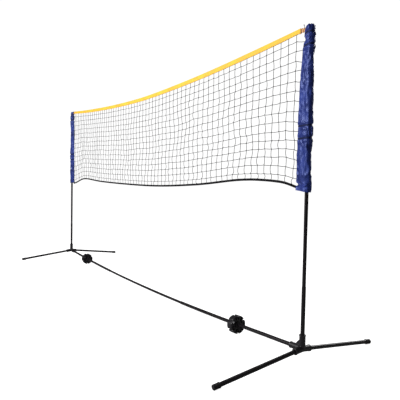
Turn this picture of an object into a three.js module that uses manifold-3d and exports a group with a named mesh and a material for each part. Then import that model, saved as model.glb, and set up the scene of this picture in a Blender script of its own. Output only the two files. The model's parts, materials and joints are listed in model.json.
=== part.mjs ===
// Portable net on two telescoping poles: a wide mesh net hung between navy fabric sleeves,
// each post standing in a plastic hub with a front and a back leg, and the hubs joined by a
// low tube bar with two lobed grips. Millimetres, +X to the right post, -Y to the front, +Z up.
import * as THREE from 'three';
import { mergeVertices } from 'three/addons/utils/BufferGeometryUtils.js';
import Module from 'manifold-3d';

const wasm = await Module();
wasm.setup();

// ---------------------------------------------------------------- driving dimensions
const HALF_SPAN = 1600; // post axis to the middle of the net
const GAP = 0.3; // between pieces that touch or plug together

const TUBE_R = 9.5; // 19 mm tube: legs, stubs, outer bars, lower poles
const TUBE_BORE = 8.6;
const SLIM_R = 8.5; // 17 mm tube: upper poles
const SLIM_BORE = 7.6;
const CENTRE_BAR_R = 8.0;
const CENTRE_BAR_BORE = 7.1;
const TUBE_FACETS = 20;

const HUB_Z = 68; // height where the axes of the hub's sockets meet
const SOCKET_R = 14.2;
const COLLAR_R = 15.4;
const COLLAR_LENGTH = 7;
const LEG_SOCKET_LENGTH = 48;
const BAR_SOCKET_LENGTH = 70;
const POLE_SOCKET_LENGTH = 63;
const LEG_SEAT = 17; // from the hub's middle to the inner end of a leg
const BAR_SEAT = 19;
const WEB_THICKNESS = 6;
const WEB_REACH = 40; // the gusset's length along the bar socket and up the pole socket

const FOOT_REACH = 486; // post axis to the outer end of a foot cap, seen from above
const FOOT_R = 11.7;
const FOOT_LENGTH = 32;
const FOOT_BORE_DEPTH = 27;
const FOOT_SINK = 1.5; // how much of the round cap is cut away for its flat sole
const FOOT_DROP = HUB_Z - (FOOT_R - FOOT_SINK);
const LEG_SLOPE = Math.atan(FOOT_DROP / FOOT_REACH);
const LEG_AXIS_LENGTH = Math.hypot(FOOT_REACH, FOOT_DROP);
const LEG_SCREW_AT = 34; // from the hub's middle along the leg

const GRIP_X = 1133;
const GRIP_Z = 48.6;
const GRIP_R = 47.5;
const GRIP_LENGTH = 38;
const GRIP_LOBES = 6;
const GRIP_SLOT_WIDTH = 11;
const GRIP_SLOT_FLOOR = 32;
const GRIP_BEVEL = 2;
const GRIP_RIM_STEPS = 5;
const COUPLER_R = 12;
const COUPLER_LENGTH = 46;

const BAR_LOW_Z = 26; // axis height of the sagging bar at mid-span
const BAR_SLOPE = (HUB_Z - GRIP_Z) / (HALF_SPAN - GRIP_X);
const BAR_SAG_POWER = (BAR_SLOPE * GRIP_X) / (GRIP_Z - BAR_LOW_Z);
const OUTER_BAR_END_X = 575;
const CENTRE_BAR_INSERT = 45;

const LOWER_POLE_BOTTOM = 92;
const LOWER_POLE_TOP = 345;
const UPPER_POLE_BOTTOM = 295;
const UPPER_POLE_TOP = 1475;
const BUTTON_Z = 110; // in the hub's pole socket, below the sliding pole's lowest stop
const BUTTON_R = 2.8;
const BUTTON_TIP = 16; // from the pole's axis to the crown of the button at rest
const BUTTON_ROOT = 5.2;

const SLEEVE_BOTTOM = 770;
const SLEEVE_TOP = 1490;
const SLEEVE_WALL = 1.5;
const SLEEVE_POST_R = 17; // the sleeve's round outer side, about the pole
const SLEEVE_NOSE_R = 5; // the sleeve's thin inner edge, where the net is sewn on
const SLEEVE_REACH_BOTTOM = 63; // pole axis to the sleeve's inner edge
const SLEEVE_REACH_TOP = 33;
const SLEEVE_TAPER_POWER = 3; // the sleeve narrows mostly near its top
const SLEEVE_LEVELS = 10;
const POST_ARC_STEPS = 10;
const NOSE_ARC_STEPS = 3;
const TIE_HEIGHT = 7;
const TIE_THICKNESS = 1.4;
const TIE_LEVELS = [1455, 1402, 1054, 999];

const TAPE_END_X = 1538;
const TAPE_TOP_MIDDLE = 1407;
const TAPE_TOP_END = 1486;
const TAPE_HEIGHT = 26;
const TAPE_END_HEIGHT = 21; // drawn together by the top tie
const TAPE_GATHER_POWER = 8;
const TAPE_THICKNESS = 4;
const TAPE_SAG_POWER = 1.7;
const TOP_TIE_HEIGHT = 15;
const TOP_TIE_THICKNESS = 5;
const HEM_HEIGHT = 12;
const HEM_THICKNESS = 4;
const NET_THICKNESS = 2;
const NET_STEPS = 40;

// Points that the slack bottom hem drapes through, as [x, z].
const HEM_DRAPE = [
  [-1560, 757],
  [-1450, 771],
  [-1220, 808],
  [-810, 787],
  [-300, 771],
  [230, 766],
  [730, 783],
  [1110, 812],
  [1310, 814],
  [1470, 801],
  [1560, 776],
];

// ---------------------------------------------------------------- materials
const finish = (color, roughness, metalness) =>
  new THREE.MeshStandardMaterial({ color, roughness, metalness });
const STEEL_BLACK = finish(0x17141a, 0.3, 0.4);
const PLASTIC_BLACK = finish(0x1a191c, 0.5, 0.0);
const RUBBER_BLACK = finish(0x151416, 0.75, 0.0);
const SCREW_STEEL = finish(0x6b6c70, 0.35, 0.9);
const NAVY_FABRIC = finish(0x26357a, 0.55, 0.0);
const TIE_FABRIC = finish(0x161c46, 0.7, 0.0);
const YELLOW_TAPE = finish(0xf6c326, 0.7, 0.0);
const ORANGE_WEBBING = finish(0xb0713c, 0.8, 0.0);
const BLACK_TAPE = finish(0x131214, 0.7, 0.0);
const NET_CORD = finish(0x2b2a2d, 0.8, 0.0);

// ---------------------------------------------------------------- solid helpers
const Z_AXIS = new THREE.Vector3(0, 0, 1);

function toSolid(geometry) {
  const bare = geometry.clone();
  bare.deleteAttribute('normal');
  bare.deleteAttribute('uv');
  const welded = mergeVertices(bare, 1e-4);
  const mesh = new wasm.Mesh({
    numProp: 3,
    vertProperties: new Float32Array(welded.attributes.position.array),
    triVerts: new Uint32Array(welded.index.array),
  });
  return new wasm.Manifold(mesh);
}

function toGeometry(solid) {
  const mesh = solid.getMesh();
  const geometry = new THREE.BufferGeometry();
  const positions = new Float32Array(mesh.vertProperties);
  geometry.setAttribute('position', new THREE.BufferAttribute(positions, 3));
  geometry.setIndex(new THREE.BufferAttribute(new Uint32Array(mesh.triVerts), 1));
  geometry.computeVertexNormals();
  return geometry;
}

// Joins the first geometries into one solid and cuts the second ones out of it.
function carve(joined, cut) {
  let solid = toSolid(joined[0]);
  for (const geometry of joined.slice(1)) {
    solid = solid.add(toSolid(geometry));
  }
  for (const geometry of cut) {
    solid = solid.subtract(toSolid(geometry));
  }
  return toGeometry(solid);
}

// Turns a geometry built along +Z so that it runs along a direction, and moves it to a point.
function aim(geometry, origin, direction) {
  const turn = new THREE.Quaternion().setFromUnitVectors(Z_AXIS, direction);
  geometry.applyQuaternion(turn);
  geometry.translate(origin.x, origin.y, origin.z);
  return geometry;
}

function rod(radius, start, end, facets = TUBE_FACETS) {
  const geometry = new THREE.CylinderGeometry(radius, radius, end - start, facets, 1);
  geometry.rotateX(Math.PI / 2);
  geometry.translate(0, 0, (start + end) / 2);
  return geometry;
}

function ringShape(outer, bore) {
  const shape = new THREE.Shape();
  shape.absarc(0, 0, outer, 0, 2 * Math.PI, false);
  const hole = new THREE.Path();
  hole.absarc(0, 0, bore, 0, 2 * Math.PI, true);
  shape.holes.push(hole);
  return shape;
}

// A straight tube along +Z between two distances from the origin.
function tube(outer, bore, start, end) {
  const geometry = new THREE.ExtrudeGeometry(ringShape(outer, bore), {
    depth: end - start,
    bevelEnabled: false,
    curveSegments: TUBE_FACETS / 2,
  });
  geometry.translate(0, 0, start);
  return geometry;
}

// A solid of revolution about +Z from [radius, height] pairs.
function turned(profile, facets = TUBE_FACETS) {
  const points = profile.map(([radius, height]) => new THREE.Vector2(radius, height));
  const geometry = new THREE.LatheGeometry(points, facets);
  geometry.rotateX(Math.PI / 2);
  return geometry;
}

// A closed skin through equally long rings of points, capped at both ends.
function loft(rings) {
  const size = rings[0].length;
  const positions = rings.flat().flatMap((point) => [point.x, point.y, point.z]);
  const faces = [];
  for (let level = 0; level + 1 < rings.length; level += 1) {
    for (let i = 0; i < size; i += 1) {
      const a = level * size + i;
      const b = level * size + ((i + 1) % size);
      faces.push(a, b, b + size, a, b + size, a + size);
    }
  }
  const outline = rings[0].map((point) => new THREE.Vector2(point.x, point.y));
  const lastRing = (rings.length - 1) * size;
  for (const [a, b, c] of THREE.ShapeUtils.triangulateShape(outline, [])) {
    faces.push(a, c, b);
    faces.push(lastRing + a, lastRing + b, lastRing + c);
  }
  const geometry = new THREE.BufferGeometry();
  geometry.setAttribute('position', new THREE.Float32BufferAttribute(positions, 3));
  geometry.setIndex(faces);
  geometry.computeVertexNormals();
  return geometry;
}

// ---------------------------------------------------------------- assembly
const group = new THREE.Group();

function place(name, geometry, material, turn = 0) {
  geometry.rotateZ(turn);
  const mesh = new THREE.Mesh(geometry, material.clone());
  mesh.name = name;
  group.add(mesh);
}

// ---------------------------------------------------------------- hub and legs
const hubMiddle = new THREE.Vector3(HALF_SPAN, 0, HUB_Z);
const buttonMiddle = new THREE.Vector3(HALF_SPAN, 0, BUTTON_Z);
const barInward = new THREE.Vector3(-1, 0, -BAR_SLOPE).normalize();
const outward = new THREE.Vector3(1, 0, 0);

function legDirection(towardY) {
  return new THREE.Vector3(0, towardY * Math.cos(LEG_SLOPE), -Math.sin(LEG_SLOPE));
}

// One socket of the hub: a tube stub with a thicker collar at its mouth.
function socket(direction, length) {
  const stub = aim(rod(SOCKET_R, 0, length), hubMiddle, direction);
  const collar = aim(rod(COLLAR_R, length - COLLAR_LENGTH, length), hubMiddle, direction);
  return [stub, collar];
}

function socketBore(direction, seat, length) {
  return aim(rod(TUBE_R + GAP, seat, length + 1), hubMiddle, direction);
}

function buttonHole(radius) {
  return aim(rod(radius, 0, 2 * SOCKET_R, 12), buttonMiddle, outward);
}

// The triangular web that braces the pole socket against the bar socket.
function gusset() {
  const outline = new THREE.Shape();
  outline.moveTo(0, 0);
  outline.lineTo(-WEB_REACH, -WEB_REACH * BAR_SLOPE);
  outline.lineTo(-WEB_REACH, SOCKET_R - WEB_REACH * BAR_SLOPE);
  outline.lineTo(-SOCKET_R, WEB_REACH);
  outline.lineTo(0, WEB_REACH);
  outline.closePath();
  const web = new THREE.ExtrudeGeometry(outline, { depth: WEB_THICKNESS, bevelEnabled: false });
  web.rotateX(Math.PI / 2);
  web.translate(HALF_SPAN, WEB_THICKNESS / 2, HUB_Z);
  return web;
}

function hub() {
  const up = Z_AXIS;
  const front = legDirection(-1);
  const back = legDirection(1);
  const core = new THREE.SphereGeometry(SOCKET_R + 0.8, TUBE_FACETS, 8);
  core.translate(hubMiddle.x, hubMiddle.y, hubMiddle.z);
  const joined = [
    core,
    ...socket(up, POLE_SOCKET_LENGTH),
    ...socket(front, LEG_SOCKET_LENGTH),
    ...socket(back, LEG_SOCKET_LENGTH),
    ...socket(barInward, BAR_SOCKET_LENGTH),
    gusset(),
  ];
  const cut = [
    socketBore(up, LOWER_POLE_BOTTOM - HUB_Z - GAP, POLE_SOCKET_LENGTH),
    socketBore(front, LEG_SEAT - GAP, LEG_SOCKET_LENGTH),
    socketBore(back, LEG_SEAT - GAP, LEG_SOCKET_LENGTH),
    socketBore(barInward, BAR_SEAT - GAP, BAR_SOCKET_LENGTH),
    buttonHole(BUTTON_R + GAP),
  ];
  return carve(joined, cut);
}

function leg(towardY) {
  const end = LEG_AXIS_LENGTH - FOOT_LENGTH + FOOT_BORE_DEPTH - GAP;
  return aim(tube(TUBE_R, TUBE_BORE, LEG_SEAT, end), hubMiddle, legDirection(towardY));
}

// A cup with a rim at its mouth, cut flat underneath where it stands on the floor.
function footCap(towardY) {
  const mouth = LEG_AXIS_LENGTH - FOOT_LENGTH;
  const bore = TUBE_R + GAP;
  const cup = turned([
    [0, mouth + FOOT_BORE_DEPTH],
    [bore, mouth + FOOT_BORE_DEPTH],
    [bore, mouth],
    [FOOT_R + 0.6, mouth],
    [FOOT_R + 0.6, mouth + 3],
    [FOOT_R, mouth + 4],
    [FOOT_R, LEG_AXIS_LENGTH - 2],
    [FOOT_R - 2, LEG_AXIS_LENGTH],
    [0, LEG_AXIS_LENGTH],
  ]);
  const belowFloor = new THREE.BoxGeometry(60, 4 * FOOT_REACH, 40);
  belowFloor.translate(HALF_SPAN, 0, -20);
  return carve([aim(cup, hubMiddle, legDirection(towardY))], [belowFloor]);
}

// A pan-head screw standing on the outer side of a leg's socket.
function legScrew(towardY) {
  const seat = SOCKET_R + GAP;
  const head = turned(
    [
      [0, seat],
      [3.6, seat],
      [3.6, seat + 1],
      [2.4, seat + 2.2],
      [0, seat + 2.4],
    ],
    12,
  );
  const along = legDirection(towardY).multiplyScalar(LEG_SCREW_AT);
  return aim(head, hubMiddle.clone().add(along), outward);
}

// ---------------------------------------------------------------- cross bar and grips
const gripMiddle = new THREE.Vector3(GRIP_X, 0, GRIP_Z);

// Axis height of the bar between the grips: level at mid-span, meeting the stubs' slope.
function barHeight(x) {
  const share = Math.abs(x) / GRIP_X;
  return BAR_LOW_Z + (GRIP_Z - BAR_LOW_Z) * share ** BAR_SAG_POWER;
}

function saggingTube(outer, bore, fromX, toX, steps) {
  const points = [];
  for (let i = 0; i <= steps; i += 1) {
    const x = fromX + ((toX - fromX) * i) / steps;
    points.push(new THREE.Vector3(x, 0, barHeight(x)));
  }
  return new THREE.ExtrudeGeometry(ringShape(outer, bore), {
    steps,
    extrudePath: new THREE.CatmullRomCurve3(points),
    curveSegments: TUBE_FACETS / 2,
  });
}

function barStub() {
  const hubToGrip = hubMiddle.distanceTo(gripMiddle);
  return aim(tube(TUBE_R, TUBE_BORE, BAR_SEAT, hubToGrip - GAP), hubMiddle, barInward);
}

function barCoupler() {
  const half = COUPLER_LENGTH / 2;
  return aim(tube(COUPLER_R, TUBE_R + GAP, -half, half), gripMiddle, barInward);
}

// The drum's outline: round lobes parted by straight slots.
function gripOutline() {
  const pitch = (2 * Math.PI) / GRIP_LOBES;
  const rim = GRIP_R - GRIP_BEVEL;
  const floor = GRIP_SLOT_FLOOR - GRIP_BEVEL;
  const halfSlot = GRIP_SLOT_WIDTH / 2 + GRIP_BEVEL;
  const floorTurn = Math.asin(halfSlot / floor);
  const rimTurn = Math.asin(halfSlot / rim);
  const points = [];
  const polar = (radius, turn) =>
    points.push(new THREE.Vector2(radius * Math.cos(turn), radius * Math.sin(turn)));
  for (let lobe = 0; lobe < GRIP_LOBES; lobe += 1) {
    const start = lobe * pitch;
    polar(floor, start + floorTurn);
    for (let i = 0; i <= GRIP_RIM_STEPS; i += 1) {
      polar(rim, start + rimTurn + ((pitch - 2 * rimTurn) * i) / GRIP_RIM_STEPS);
    }
    polar(floor, start + pitch - floorTurn);
  }
  return new THREE.Shape(points);
}

function grip() {
  const body = new THREE.ExtrudeGeometry(gripOutline(), {
    depth: GRIP_LENGTH - 2 * GRIP_BEVEL,
    bevelThickness: GRIP_BEVEL,
    bevelSize: GRIP_BEVEL,
    bevelSegments: 2,
  });
  body.translate(0, 0, -GRIP_LENGTH / 2 + GRIP_BEVEL);
  const bore = rod(COUPLER_R + GAP, -GRIP_LENGTH, GRIP_LENGTH);
  return aim(carve([body], [bore]), gripMiddle, barInward);
}

// ---------------------------------------------------------------- poles
function lowerPole() {
  const pole = tube(TUBE_R, TUBE_BORE, LOWER_POLE_BOTTOM, LOWER_POLE_TOP);
  pole.translate(HALF_SPAN, 0, 0);
  return carve([pole], [buttonHole(BUTTON_R + 0.5)]);
}

function upperPole() {
  const pole = tube(SLIM_R, SLIM_BORE, UPPER_POLE_BOTTOM, UPPER_POLE_TOP);
  pole.translate(HALF_SPAN, 0, 0);
  return pole;
}

// The spring button that holds the lower pole in the hub, standing out on the outer side.
function poleButton() {
  const pin = turned(
    [
      [0, BUTTON_ROOT],
      [BUTTON_R, BUTTON_ROOT],
      [BUTTON_R, BUTTON_TIP - 1.2],
      [BUTTON_R * 0.6, BUTTON_TIP - 0.3],
      [0, BUTTON_TIP],
    ],
    12,
  );
  return aim(pin, buttonMiddle, outward);
}

// A plug in the top end of the upper pole, with a low domed head.
function poleCap() {
  const head = UPPER_POLE_TOP + GAP;
  const cap = turned([
    [0, UPPER_POLE_TOP - 18],
    [SLIM_BORE - GAP, UPPER_POLE_TOP - 18],
    [SLIM_BORE - GAP, head],
    [SLIM_R + 1, head],
    [SLIM_R + 1, head + 3.5],
    [SLIM_R - 1.5, head + 6.5],
    [0, head + 7.5],
  ]);
  cap.translate(HALF_SPAN, 0, 0);
  return cap;
}

// ---------------------------------------------------------------- sleeve and ties
// Distance from the pole's axis to the sleeve's inner edge at a height.
function sleeveReach(z) {
  const share = (z - SLEEVE_BOTTOM) / (SLEEVE_TOP - SLEEVE_BOTTOM);
  const taper = share ** SLEEVE_TAPER_POWER;
  return SLEEVE_REACH_BOTTOM + (SLEEVE_REACH_TOP - SLEEVE_REACH_BOTTOM) * taper;
}

// Distance from mid-span to the sleeve's inner edge at a height.
function sleeveEdge(z) {
  return HALF_SPAN - sleeveReach(z);
}

// The sleeve's drop-shaped section at a height, grown or shrunk by an offset.
function sleeveRing(z, offset) {
  const reach = sleeveReach(z);
  const noseCentre = reach - SLEEVE_NOSE_R;
  const lean = Math.asin((SLEEVE_POST_R - SLEEVE_NOSE_R) / noseCentre);
  const ring = [];
  const half = Math.PI / 2 + lean;
  for (let i = 0; i <= POST_ARC_STEPS; i += 1) {
    const turn = -half + (2 * half * i) / POST_ARC_STEPS;
    const radius = SLEEVE_POST_R + offset;
    const x = HALF_SPAN + radius * Math.cos(turn);
    ring.push(new THREE.Vector3(x, radius * Math.sin(turn), z));
  }
  const noseHalf = Math.PI - half;
  for (let i = 0; i <= NOSE_ARC_STEPS; i += 1) {
    const turn = Math.PI - noseHalf + (2 * noseHalf * i) / NOSE_ARC_STEPS;
    const radius = SLEEVE_NOSE_R + offset;
    const x = HALF_SPAN - noseCentre + radius * Math.cos(turn);
    ring.push(new THREE.Vector3(x, radius * Math.sin(turn), z));
  }
  return ring;
}

function sleeveLoft(bottom, top, offset, levels) {
  const rings = [];
  for (let i = 0; i <= levels; i += 1) {
    rings.push(sleeveRing(bottom + ((top - bottom) * i) / levels, offset));
  }
  return loft(rings);
}

function netSleeve() {
  const ceiling = SLEEVE_TOP - SLEEVE_WALL;
  const outside = sleeveLoft(SLEEVE_BOTTOM, SLEEVE_TOP, 0, SLEEVE_LEVELS);
  const inside = sleeveLoft(SLEEVE_BOTTOM - 5, ceiling, -SLEEVE_WALL, SLEEVE_LEVELS);
  return carve([outside], [inside]);
}

function sleeveTie(z) {
  const bottom = z - TIE_HEIGHT / 2;
  const band = sleeveLoft(bottom, bottom + TIE_HEIGHT, GAP + TIE_THICKNESS, 1);
  const sleeve = sleeveLoft(SLEEVE_BOTTOM, SLEEVE_TOP, GAP, SLEEVE_LEVELS);
  return carve([band], [sleeve]);
}

// ---------------------------------------------------------------- net, tape and hem
function tapeTop(x) {
  const share = Math.abs(x) / TAPE_END_X;
  return TAPE_TOP_MIDDLE + (TAPE_TOP_END - TAPE_TOP_MIDDLE) * share ** TAPE_SAG_POWER;
}

function tapeBottom(x) {
  const share = Math.abs(x) / TAPE_END_X;
  return tapeTop(x) - TAPE_HEIGHT + (TAPE_HEIGHT - TAPE_END_HEIGHT) * share ** TAPE_GATHER_POWER;
}

const drapeCurve = new THREE.SplineCurve(HEM_DRAPE.map(([x, z]) => new THREE.Vector2(x, z)));
const drapePoints = drapeCurve.getPoints(400);

// Height of the hem's middle line at a distance across the net.
function hemMiddle(x) {
  const next = drapePoints.findIndex((point) => point.x >= x);
  const b = drapePoints[Math.max(next, 1)];
  const a = drapePoints[Math.max(next, 1) - 1];
  return a.y + ((b.y - a.y) * (x - a.x)) / (b.x - a.x);
}

// Points along a height curve, from one end of the net to the other.
function acrossNet(end, height) {
  const points = [];
  for (let i = -NET_STEPS; i <= NET_STEPS; i += 2) {
    const x = (end * i) / NET_STEPS;
    points.push(new THREE.Vector2(x, height(x)));
  }
  return points;
}

// An upright panel, thin in Y and centred on the net's plane, inside an outline of [x, z].
function panel(outline, thickness) {
  const shape = new THREE.Shape(outline);
  const geometry = new THREE.ExtrudeGeometry(shape, { depth: thickness, bevelEnabled: false });
  geometry.rotateX(Math.PI / 2);
  geometry.translate(0, thickness / 2, 0);
  return geometry;
}

function topTape() {
  const bottomEdge = acrossNet(TAPE_END_X, tapeBottom);
  const topEdge = acrossNet(TAPE_END_X, tapeTop);
  return panel([...bottomEdge, ...topEdge.reverse()], TAPE_THICKNESS);
}

function bottomHem() {
  const end = sleeveEdge(SLEEVE_BOTTOM) - GAP;
  const bottomEdge = acrossNet(end, (x) => hemMiddle(x) - HEM_HEIGHT / 2);
  const topEdge = acrossNet(end, (x) => hemMiddle(x) + HEM_HEIGHT / 2);
  return panel([...bottomEdge, ...topEdge.reverse()], HEM_THICKNESS);
}

// The mesh as one thin panel from the hem to the tape, its sides following the two sleeves.
function netMesh() {
  const clearance = TIE_THICKNESS + 2 * GAP;
  const lowerEnd = sleeveEdge(SLEEVE_BOTTOM) - clearance;
  const upperEnd = sleeveEdge(TAPE_TOP_END - TAPE_END_HEIGHT) - clearance;
  const lower = (x) => hemMiddle(x) + HEM_HEIGHT / 2 + GAP;
  const upper = (x) => tapeBottom(Math.min(Math.abs(x), TAPE_END_X)) - GAP;
  const rightSide = [];
  for (let level = 1; level < SLEEVE_LEVELS; level += 1) {
    const z = SLEEVE_BOTTOM + ((SLEEVE_TOP - SLEEVE_BOTTOM) * level) / SLEEVE_LEVELS;
    rightSide.push(new THREE.Vector2(sleeveEdge(z) - clearance, z));
  }
  const leftSide = rightSide.map((point) => new THREE.Vector2(-point.x, point.y));
  const outline = [
    ...acrossNet(lowerEnd, lower),
    ...rightSide,
    ...acrossNet(upperEnd, upper).reverse(),
    ...leftSide.reverse(),
  ];
  return panel(outline, NET_THICKNESS);
}

// The short strap from the tape's end to the sleeve.
function topTie() {
  const top = TAPE_TOP_END - 6;
  const inner = TAPE_END_X + GAP;
  const outer = sleeveEdge(top) - TIE_THICKNESS - 2 * GAP;
  const strap = new THREE.BoxGeometry(outer - inner, TOP_TIE_THICKNESS, TOP_TIE_HEIGHT);
  strap.translate((inner + outer) / 2, 0, top - TOP_TIE_HEIGHT / 2);
  return strap;
}

// ---------------------------------------------------------------- build both sides
// The left side is the right side turned half a turn about the middle of the net.
const SIDES = [
  { side: 'left', turn: Math.PI, frontY: 1, backY: -1 },
  { side: 'right', turn: 0, frontY: -1, backY: 1 },
];

for (const { side, turn, frontY, backY } of SIDES) {
  place(`${side}_base_hub`, hub(), PLASTIC_BLACK, turn);
  for (const [end, towardY] of [['front', frontY], ['back', backY]]) {
    place(`${side}_${end}_leg`, leg(towardY), STEEL_BLACK, turn);
    place(`${side}_${end}_foot_cap`, footCap(towardY), RUBBER_BLACK, turn);
    place(`${side}_${end}_leg_screw`, legScrew(towardY), SCREW_STEEL, turn);
  }
  place(`${side}_bar_stub`, barStub(), STEEL_BLACK, turn);
  place(`${side}_bar_coupler`, barCoupler(), PLASTIC_BLACK, turn);
  place(`${side}_bar_grip`, grip(), PLASTIC_BLACK, turn);
  const outerBar = saggingTube(TUBE_R, TUBE_BORE, GRIP_X - GAP, OUTER_BAR_END_X, 6);
  place(`${side}_outer_bar`, outerBar, STEEL_BLACK, turn);
  place(`${side}_lower_pole`, lowerPole(), STEEL_BLACK, turn);
  place(`${side}_upper_pole`, upperPole(), STEEL_BLACK, turn);
  place(`${side}_pole_button`, poleButton(), SCREW_STEEL, turn);
  place(`${side}_pole_cap`, poleCap(), PLASTIC_BLACK, turn);
  place(`${side}_net_sleeve`, netSleeve(), NAVY_FABRIC, turn);
  TIE_LEVELS.forEach((z, i) => {
    place(`${side}_sleeve_tie_${i + 1}`, sleeveTie(z), TIE_FABRIC, turn);
  });
  place(`${side}_top_tie`, topTie(), ORANGE_WEBBING, turn);
}

const centreEnd = OUTER_BAR_END_X + CENTRE_BAR_INSERT;
const centreBar = saggingTube(CENTRE_BAR_R, CENTRE_BAR_BORE, centreEnd, -centreEnd, 8);
place('centre_bar', centreBar, STEEL_BLACK);
place('net_mesh', netMesh(), NET_CORD);
place('top_tape', topTape(), YELLOW_TAPE);
place('bottom_hem', bottomHem(), BLACK_TAPE);

export default group;
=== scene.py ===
"""Looks for the portable net on two telescoping poles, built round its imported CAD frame.

Metres, +X to the right post, -Y to the front, +Z up. The left post's pieces are the right
post's turned half a turn about the middle of the net, with their own folds.
"""
import json
import math

import bmesh
import bpy
import numpy as np
from mathutils import Matrix, Vector, noise


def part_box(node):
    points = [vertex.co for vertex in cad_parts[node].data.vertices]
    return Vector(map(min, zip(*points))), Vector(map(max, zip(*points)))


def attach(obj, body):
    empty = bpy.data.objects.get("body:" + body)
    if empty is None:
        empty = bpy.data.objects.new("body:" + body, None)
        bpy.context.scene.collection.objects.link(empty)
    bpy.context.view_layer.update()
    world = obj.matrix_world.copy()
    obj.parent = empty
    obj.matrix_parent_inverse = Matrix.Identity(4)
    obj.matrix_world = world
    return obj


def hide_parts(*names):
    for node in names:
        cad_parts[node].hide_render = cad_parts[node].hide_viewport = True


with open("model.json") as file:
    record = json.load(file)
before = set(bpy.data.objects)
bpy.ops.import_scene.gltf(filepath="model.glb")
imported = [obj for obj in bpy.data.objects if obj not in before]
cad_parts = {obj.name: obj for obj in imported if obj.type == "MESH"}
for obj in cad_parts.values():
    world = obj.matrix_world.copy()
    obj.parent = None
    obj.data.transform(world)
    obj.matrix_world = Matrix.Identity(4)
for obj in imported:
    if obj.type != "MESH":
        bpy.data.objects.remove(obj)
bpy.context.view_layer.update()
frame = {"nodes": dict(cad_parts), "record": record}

BODY_OF = {
    node: body for body, nodes in frame["record"]["behaviour"]["bodies"].items() for node in nodes
}
SLOT_OF = {part["node"]: part["material_slot"] for part in frame["record"]["subparts"]}
SIDES = ("left", "right")
OUTWARD = {"left": -1.0, "right": 1.0}  # along x, away from the net
random = np.random.default_rng(7)

# ---------------------------------------------------------------- sizes
TUBE_SIDES = 32
TUBE_LIP = 0.0004  # rounding of a tube's cut ends
BAR_STEPS = 40
FIT_GAP = 0.0003  # between a piece and the tube or strap that it goes round or into

HUB_VOXEL = 0.0009
HUB_FILLET_PASSES = 8
FOOT_R = 0.0117
FOOT_MOUTH = -0.0267  # along the leg, from its outer end to the cap's mouth and tip
FOOT_TIP = 0.0053
FOOT_RIM = 0.0006  # how far the rim at its mouth stands out
FOOT_GROOVES = 3
FOOT_GROOVE_START = 0.009  # from the mouth to the first groove
FOOT_GROOVE_PITCH = 0.0042
FOOT_GROOVE_DEPTH = 0.0006
FOOT_GROOVE_SHAPE = ((0.0, 0.0), (0.0006, 1.0), (0.0016, 1.0), (0.0022, 0.0))  # (along, share of depth)
POLE_CAP_STEM = 0.0183  # length of the plug inside the pole
POLE_CAP_RIM = 0.003  # straight part of its head, under the dome

GRIP_R = 0.0475
GRIP_LENGTH = 0.038
GRIP_LOBES = 6
GRIP_CORNER = 0.0016  # cut off the lobes' outer corners
GRIP_SLOT_HALF = 0.0055
GRIP_SLOT_FLOOR = 0.032
GRIP_FLOOR_DIP = 0.985  # radius in the middle of a slot's floor, against its sides
GRIP_WALL = 0.0042  # the lobes' wall round the hollow faces
GRIP_HOLLOW = 0.007  # depth of the hollow in each face
GRIP_BOSS_R = 0.0175
GRIP_ARC_STEPS = 9

SLEEVE_AROUND = 96
SLEEVE_LEVELS = 330
SLEEVE_CLOTH = 0.0009
SLEEVE_POST_R = 0.0168
SLEEVE_NOSE_R = 0.0045
SLEEVE_TOP_REACH = 0.033
SLEEVE_TAPER_POWER = 3
WAIST_BELOW_TOP = 0.063  # the pinch between the two upper ties
WAIST_DEPTH = 0.011
WAIST_SPREAD = 0.013
NOTCH_ABOVE_BOTTOM = 0.027  # where the sleeve's lower corner is drawn towards the hem
NOTCH_DEPTH = 0.013
NOTCH_SPREAD = 0.0065
CROWN_HEIGHT = 0.009
CROWN_STEPS = 12
CROWN_PUCKERS = 9
CROWN_PUCKER_DEPTH = 0.0012
CROWN_CLEARANCE = 0.0015  # kept under the CAD sleeve's top
SLEEVE_HEM = 0.011
SLEEVE_HEM_STANDS_OUT = 0.7  # share of the cloth's thickness
SLEEVE_DROOP = 0.008  # how much lower its open end hangs at the pole than at the net
SLEEVE_DROOP_RISE = 0.06
FAN_PLEATS_PER_METRE = 75  # creases that run out from a tie
FAN_REACH = 0.032
FAN_DEPTH = 0.0013
FAN_SLANT = 25  # radians that a pleat shifts by, per metre away from its tie
FAN_SHIFT = 2.3  # radians from one tie's pleats to the next's
BROAD_FOLD = 0.0058
BROAD_GRAIN = ((26, 0), (12, 10))  # noise units per metre round and up the cloth
CREASE_FOLD = 0.0075
CREASE_GRAIN = ((42, 20), (-26, 22))
CREASE_LEVEL = 0.25
FINE_FOLD = 0.0006
FINE_GRAIN = ((120, 0), (0, 70))
FOLD_LIMIT = 0.0042
NOSE_SPREAD = 0.009  # half-width of the inner edge, where the folds calm down
NOSE_CALM = 0.6

TIE_HOLD = 0.007  # half-width of the band where a tie holds the cloth flat
TIE_GATHER = 0.0017
TIE_GATHER_AWAY = 0.013  # from a tie to the bulge above and below it
TIE_GATHER_SPREAD = 0.008
TIE_PINCH = 0.0018
TIE_RIBBON = 0.0011
TIE_CLEARANCE = 0.0003
TIE_KNOT_SIZE = 0.0012
TIE_KNOT_R = 0.0016
TIE_TAIL = 0.016
TIE_TAIL_R = 0.0019
TIE_TAIL_SQUASH = 0.28

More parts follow.
